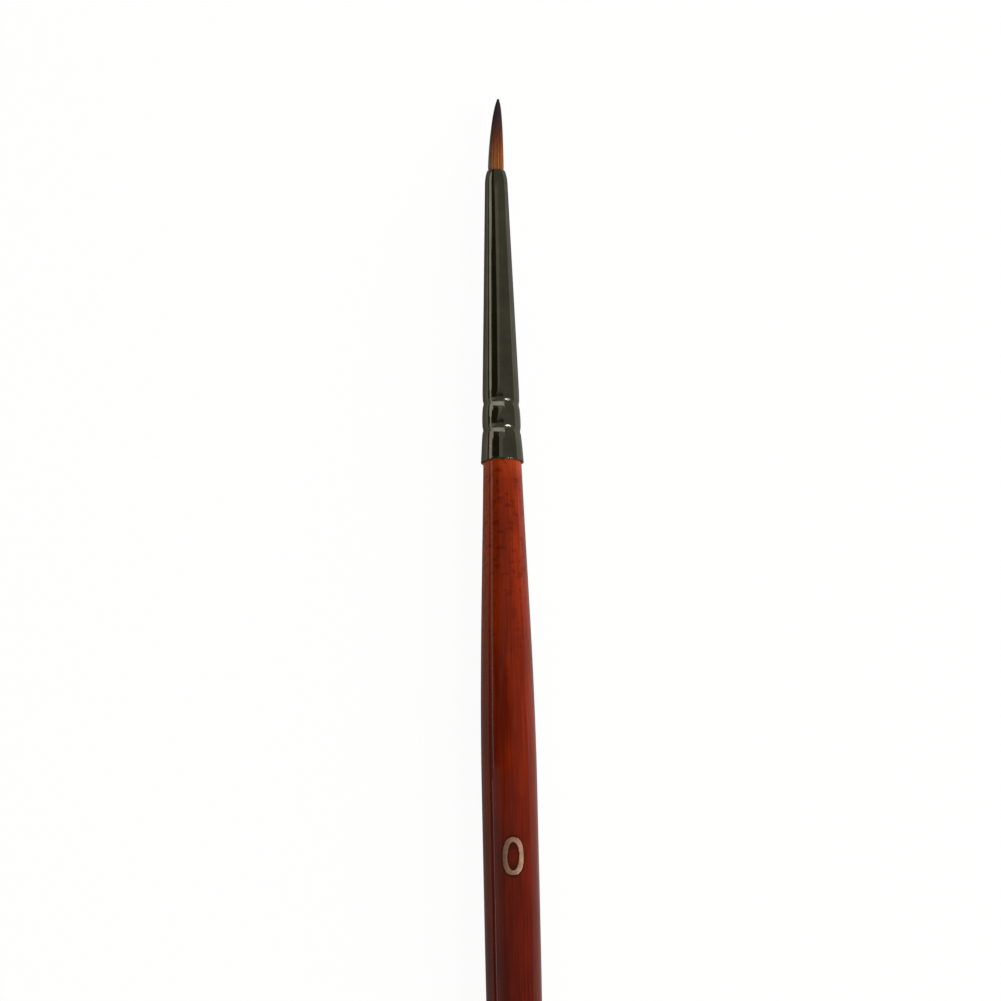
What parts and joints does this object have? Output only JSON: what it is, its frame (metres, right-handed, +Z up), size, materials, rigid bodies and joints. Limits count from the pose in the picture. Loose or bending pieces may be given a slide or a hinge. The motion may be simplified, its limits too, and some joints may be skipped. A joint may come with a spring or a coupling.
{
  "type": "fine detail brush",
  "caption": "Pointed round hair tuft in a crimped metal ferrule on a slim turned handle with clear coloured lacquer, for painting fine details.",
  "frame": {"origin": "on the surface that the brush lies on, under the middle of its length and its axis", "axes": "+Y along the brush towards the point of the hair, +Z up from the surface, +X to the right with the point away"},
  "size_m": [0.0062, 0.1794, 0.0062],
  "materials": {
    "dyed_hair": "satin",
    "amber_hair": "satin",
    "thread": "matte",
    "epoxy": "gloss",
    "plated_brass": "gloss",
    "glue": "satin",
    "wood": "matte",
    "red_lacquer": "gloss",
    "foil": "satin"
  },
  "bodies": {
    "brush": {"ferrule": "plated_brass", "hair_heel": "amber_hair", "hair_belly": "amber_hair", "tie_thread": "thread", "epoxy_plug": "epoxy", "tenon_glue": "glue", "handle_core": "wood", "handle_lacquer": "red_lacquer", "size_mark": "foil"},
    "tuft": {"hair_point": "dyed_hair"}
  },
  "joints": [
    {"name": "hair_flex", "type": "hinge", "parent": "brush", "child": "tuft", "pos_m": [0, 0.0825, 0.0031], "axis": [0, 0, 1], "range_deg": [-45, 45], "stiffness_Nm_per_rad": 0.0006, "deforming": ["hair_belly"]}
  ]
}
